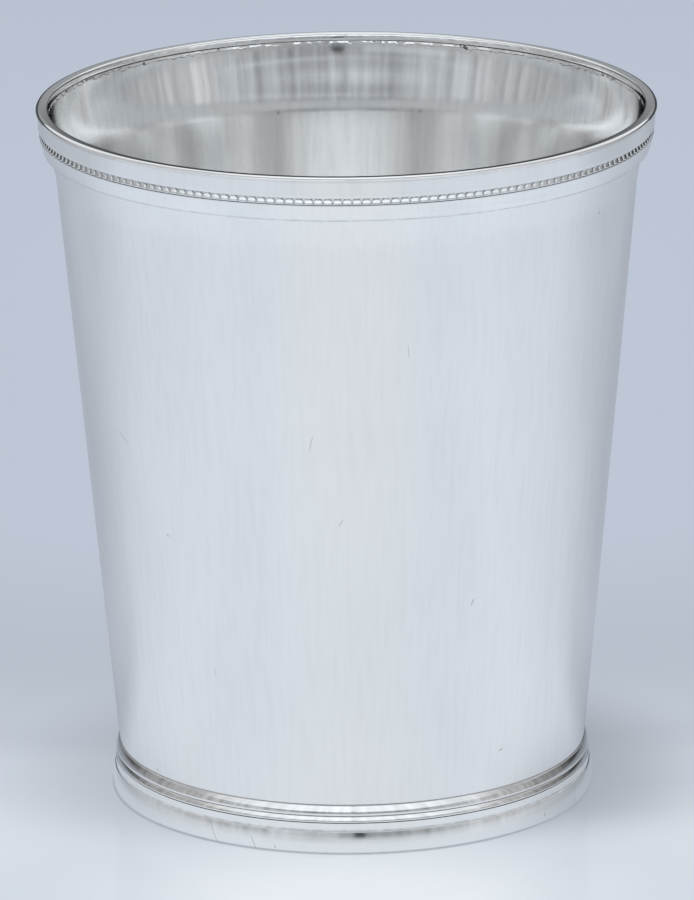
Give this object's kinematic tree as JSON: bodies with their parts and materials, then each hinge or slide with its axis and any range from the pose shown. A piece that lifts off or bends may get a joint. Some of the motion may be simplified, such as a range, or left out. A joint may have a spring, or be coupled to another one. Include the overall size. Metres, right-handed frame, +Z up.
{
  "type": "julep cup",
  "caption": "Tapered silver julep cup with a beaded rim, a soldered-in floor and a reeded foot band.",
  "frame": {"origin": "middle of the ring that the cup stands on", "axes": "+Z up along the cup's axis; the cup is the same all round, so +Y is any level direction"},
  "size_m": [0.0826, 0.0826, 0.0944],
  "materials": {
    "wall_silver": "satin silver with a fine polished grain, hairline scratches and a few small dings",
    "floor_silver": "satin silver with fine rings left by polishing",
    "lip_silver": "bright polished silver",
    "rim_silver": "silver polished to a soft shine",
    "bead_silver": "bright silver, darker with tarnish in the gaps between the beads",
    "reed_silver": "bright polished silver, darker in the creases",
    "foot_silver": "softly polished silver, worn and a little scuffed"
  },
  "bodies": {
    "root": {"cup_wall": "wall_silver", "cup_floor": "floor_silver", "lip_wire": "lip_silver", "rim_collar": "rim_silver", "bead_wire": "bead_silver", "rim_band": "rim_silver", "upper_reed": "reed_silver", "lower_reed": "reed_silver", "foot_band": "foot_silver"}
  },
  "joints": []
}
